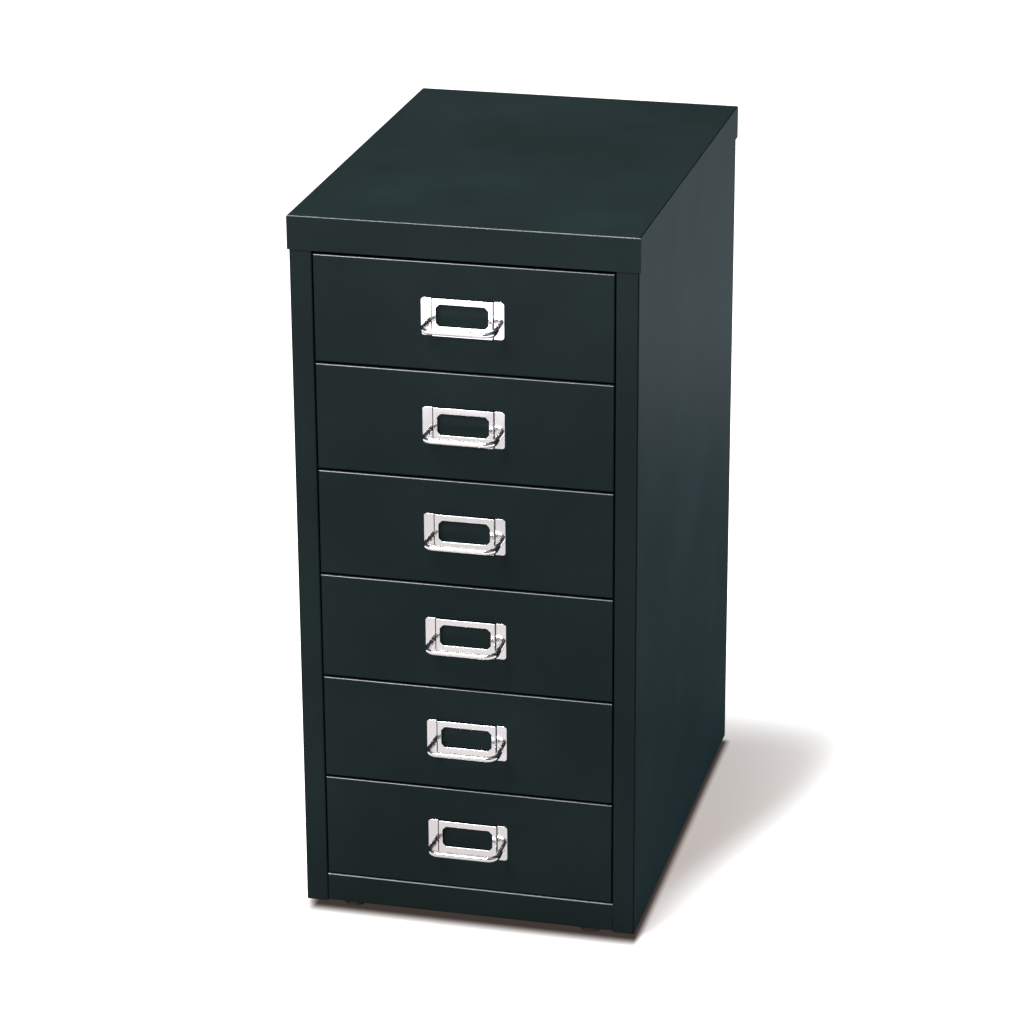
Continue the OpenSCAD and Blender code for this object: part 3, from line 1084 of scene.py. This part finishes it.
@dataclass
class Studio:
    """Floor, lights, room and camera.

    A pair whose name starts with contact, mirrored or curtain says where a soft step starts and
    ends: past the cabinet's sides in metres, or along the world's Y axis for the curtain. The
    contact pairs give the reach of a painted contact shadow round the cabinet's foot, and the
    shade values give the shape of a painted shadow beside it. A pair in room or camera_side is a
    height in the world, from 0 below to 1 above, and its brightness.
    """

    azimuth: float = 14.0
    elevation: float = 21.2
    roll: float = -0.3
    distance: float = 3.0
    lens: float = 125.5
    sensor: float = 36.0
    farthest: float = 100.0
    aim_right: float = -11.0 * MM
    aim_up: float = -13.0 * MM
    floor_half: float = 14.0
    floor_colour: Colour = (0.67, 0.65, 0.635)
    floor_roughness: float = 0.9
    # A painted contact shadow round the cabinet's foot: its glow and its reach past each side.
    contact_shadow_glow: Colour = (0.055, 0.041, 0.036)
    contact_before: Pair = (-2.5 * MM, 21.0 * MM)
    contact_behind: Pair = (-8.0 * MM, 1.0 * MM)
    contact_right: Pair = (-0.5 * MM, 7.5 * MM)
    contact_left: Pair = (-9.0 * MM, 3.0 * MM)
    # The glow that camera rays see: dim inside a painted shadow beside the cabinet, white beyond; the shade
    # values give that shadow's shape.
    painted_shadow_glow: Colour = (0.34, 0.235, 0.185)
    seen_far: Colour = (1.2, 1.2, 1.2)
    shade_width: Pair = (21.0 * MM, 118.0 * MM)
    shade_fade: float = 42.0 * MM
    shade_behind: float = 66.0 * MM
    shade_behind_slope: float = 0.5
    shade_round: float = 50.0 * MM
    mirrored_near: Colour = (0.12, 0.11, 0.11)
    mirrored_mid: Colour = BLACK
    mirrored_far: Colour = (1.6, 1.6, 1.7)
    mirrored_fall: Pair = (0.35, 0.95)
    mirrored_rise: Pair = (1.2, 1.5)
    mirrored_beside: Pair = (0.6, 1.3)
    mirrored_turn: Pair = (0.0, 0.3)
    mirrored_share: float = 0.75
    room: tuple[Pair, ...] = (
        (0.4, 1.0), (0.57, 1.0), (0.63, 0.22), (0.9, 0.2), (1.0, 0.5),
    )
    camera_side: tuple[Pair, ...] = (
        (0.4, 1.0), (0.53, 1.0), (0.56, 0.02), (0.75, 0.02), (0.9, 0.2), (1.0, 0.5),
    )
    curtain: Pair = (-0.55, -0.8)
    lamps: tuple[SoftBox, ...] = (
        SoftBox("key", (-0.09, -0.05, 1.0), 2.6, (0.5, 0.5), 45.0),
        SoftBox("bank", (-0.27, -0.62, 0.76), 2.5, (0.5, 0.9), 17.0),
        SoftBox("fill", (-0.5, -0.9, 1.0), 2.4, (1.4, 1.4), 4.4),
        SoftBox("side", (0.75, 0.75, 0.22), 1.8, (0.8, 0.8), 12.0, (0.62, 1.0, 1.2)),
    )

    def centre(self) -> Vector:
        """The middle of the cabinet's body, without the handles."""
        low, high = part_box("top_cover")
        return Vector(((low.x + high.x) / 2, (low.y + high.y) / 2, (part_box("base_pan")[0].z + high.z) / 2))

    def camera(self) -> None:
        """Puts the camera where the photograph was taken."""
        azimuth, elevation, roll = map(math.radians, (self.azimuth, self.elevation, self.roll))
        back = Vector((
            math.sin(azimuth) * math.cos(elevation),
            -math.cos(azimuth) * math.cos(elevation),
            math.sin(elevation),
        ))
        right = Vector((math.cos(azimuth), math.sin(azimuth), 0.0))
        up = back.cross(right)
        rolled_right = right * math.cos(roll) + up * math.sin(roll)
        rolled_up = up * math.cos(roll) - right * math.sin(roll)
        data = bpy.data.cameras.new("camera")
        data.lens = self.lens
        data.sensor_width = self.sensor
        data.clip_end = self.farthest
        camera = bpy.data.objects.new("camera", data)
        aim = self.centre() + right * self.aim_right + up * self.aim_up
        turn = Matrix((rolled_right, rolled_up, back)).transposed().to_4x4()
        camera.matrix_world = Matrix.Translation(aim + back * self.distance) @ turn
        bpy.context.scene.collection.objects.link(camera)
        bpy.context.scene.camera = camera

    def world(self) -> None:
        """A pale sweep round the horizon under a dim room, with a dark curtain on the camera's side."""
        world = bpy.data.worlds.new("studio")
        bpy.context.scene.world = world
        shader = Shader(world)
        way = shader.value(shader.node("ShaderNodeTexCoord"), "Generated")
        _, backward, upward = shader.parts(way)
        share = upward * 0.5 + 0.5
        room, curtain = (
            shader.value(shader.node("ShaderNodeValToRGB", {"stops": stops}, {0: share}))
            for stops in (self.room, self.camera_side)
        )
        level = shader.blend(shader.ramp(backward, *self.curtain), room, curtain)
        light = shader.node("ShaderNodeBackground", None, {"Color": level, "Strength": 1.0})
        shader.node("ShaderNodeOutputWorld", None, {"Surface": shader.value(light)})

    def outline(self, shader: Shader) -> tuple[Value, Value, Value, Value]:
        """How far a point of the floor is from the cabinet and from the end of its shadow.

        Args:
            shader: the floor's shader.

        Returns:
            The distance in metres from the cabinet's outline, 0 under it, the distance in front
            of its face, how clear the floor is of the painted contact shadow round the cabinet's
            foot, from 0 to 1, and the distance past the end of the painted shadow beside it,
            below 0 inside that shadow.
        """
        low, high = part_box("left_side")[0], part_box("right_side")[1]
        across, along, _ = shader.parts(shader.place())
        right, behind = across - high.x, along - high.y
        left, before = low.x - across, low.y - along
        beyond = {
            i: shader.math("MAXIMUM", shader.math("MAXIMUM", *sides), 0.0)
            for i, sides in enumerate(((right, left), (behind, before)))
        }
        way = shader.value(shader.node("ShaderNodeCombineXYZ", None, beyond))
        away = shader.value(shader.node("ShaderNodeVectorMath", {"operation": "LENGTH"}, {0: way}), "Value")
        reaches = ((right, self.contact_right), (left, self.contact_left),
                   (behind, self.contact_behind), (before, self.contact_before))
        # Painted contact shadow: a dark line round the cabinet's foot.
        dark = math.prod(1.0 - shader.ramp(side, *reach) for side, reach in reaches)
        # The shape of the painted shadow beside the cabinet, wider towards the back.
        narrow, wide = self.shade_width
        beside = right - narrow - shader.ramp(along, low.y, high.y) * (wide - narrow)
        beyond_back = (behind - self.shade_behind) * self.shade_behind_slope
        outside = shader.math("SMOOTH_MAX", beside, beyond_back, self.shade_round)
        past = shader.math("MAXIMUM", outside, shader.math("MAXIMUM", left, before))
        return away, before, 1.0 - dark, past

    def floor(self) -> None:
        """Lays a plain white floor that keeps the cabinet's shadow and pales beyond it.

        For camera rays it has a painted shadow beside the cabinet and a painted contact shadow
        round its foot. Chrome and paint mirror a floor of their own: dim in front of the cabinet,
        bright beyond.
        """
        form = bmesh.new()
        bmesh.ops.create_grid(form, x_segments=1, y_segments=1, size=self.floor_half)
        piece = new_piece("floor", new_mesh("floor", form, smooth=False))
        material = bpy.data.materials.new("floor_white")
        shader = Shader(material)
        path = shader.node("ShaderNodeLightPath")
        camera, glossy, through = (
            shader.value(path, f"Is {kind} Ray") for kind in ("Camera", "Glossy", "Transmission")
        )
        away, before, clear, past = self.outline(shader)
        # Camera rays see the painted contact shadow round the foot, and a dim painted shadow glow beside the
        # cabinet.
        contact_shaded_colour = shader.blend(clear, BLACK, self.floor_colour)
        pale = shader.ramp(past, -self.shade_fade, self.shade_fade)
        seen = shader.blend(clear, self.contact_shadow_glow, shader.blend(pale, self.painted_shadow_glow, self.seen_far))
        fall = shader.ramp(before, *self.mirrored_fall)
        dimmer = shader.blend(fall, self.mirrored_near, self.mirrored_mid)
        beside, ahead = (shader.ramp(away, *reach) for reach in (self.mirrored_beside, self.mirrored_rise))
        rise = beside + (ahead - beside) * shader.ramp(before, *self.mirrored_turn)
        mirrored = shader.blend(rise, dimmer, self.mirrored_far)
        mirrored_colour = scaled(self.floor_colour, self.mirrored_share)
        plain = self.white(shader, self.floor_colour, BLACK)
        shader.finish(shader.either(
            glossy + through,
            shader.either(camera, plain, self.white(shader, contact_shaded_colour, seen)),
            self.white(shader, mirrored_colour, mirrored),
        ))
        piece.data.materials.append(material)

    def white(self, shader: Shader, colour: Tint, glow: Tint) -> Value:
        """The floor's dull white, with a glow for the rays that see it.

        Args:
            shader: the floor's shader.
            colour: the white.
            glow: the light that it gives off.

        Returns:
            The shader.
        """
        return shader.principled({
            "Base Color": colour, "Roughness": self.floor_roughness, "Specular IOR Level": 0.0,
            "Emission Color": glow, "Emission Strength": 1.0,
        })

    def lamp(self, box: SoftBox) -> None:
        """Adds a soft box.

        Args:
            box: its place, size and light.
        """
        width, height = box.size
        data = bpy.data.lights.new(box.name, "AREA")
        data.shape = "RECTANGLE"
        data.size, data.size_y = width, height
        data.energy = box.level * math.pi * width * height
        data.color = box.colour
        lamp = bpy.data.objects.new(box.name, data)
        lamp.location = self.centre() + Vector(box.way).normalized() * box.distance
        lamp.rotation_euler = Vector(box.way).to_track_quat("Z", "Y").to_euler()
        bpy.context.scene.collection.objects.link(lamp)

    def build(self) -> None:
        """Sets the whole studio up."""
        self.camera()
        self.world()
        self.floor()
        for box in self.lamps:
            self.lamp(box)
        bpy.context.scene.view_settings.view_transform = "Standard"
        LOG.info("studio set up")


def main() -> None:
    """Builds the studio and dresses the cabinet."""
    logging.basicConfig(level=logging.INFO, format="%(name)s: %(message)s")
    paint = Paintbox()
    Studio().build()
    Carcass(paint).dress()
    runners = Runners(paint)
    runners.dress()
    runners.build()
    Feet(paint).build()
    drawers = Drawers(paint)
    drawers.dress()
    drawers.build()


if __name__ == "__main__":
    main()
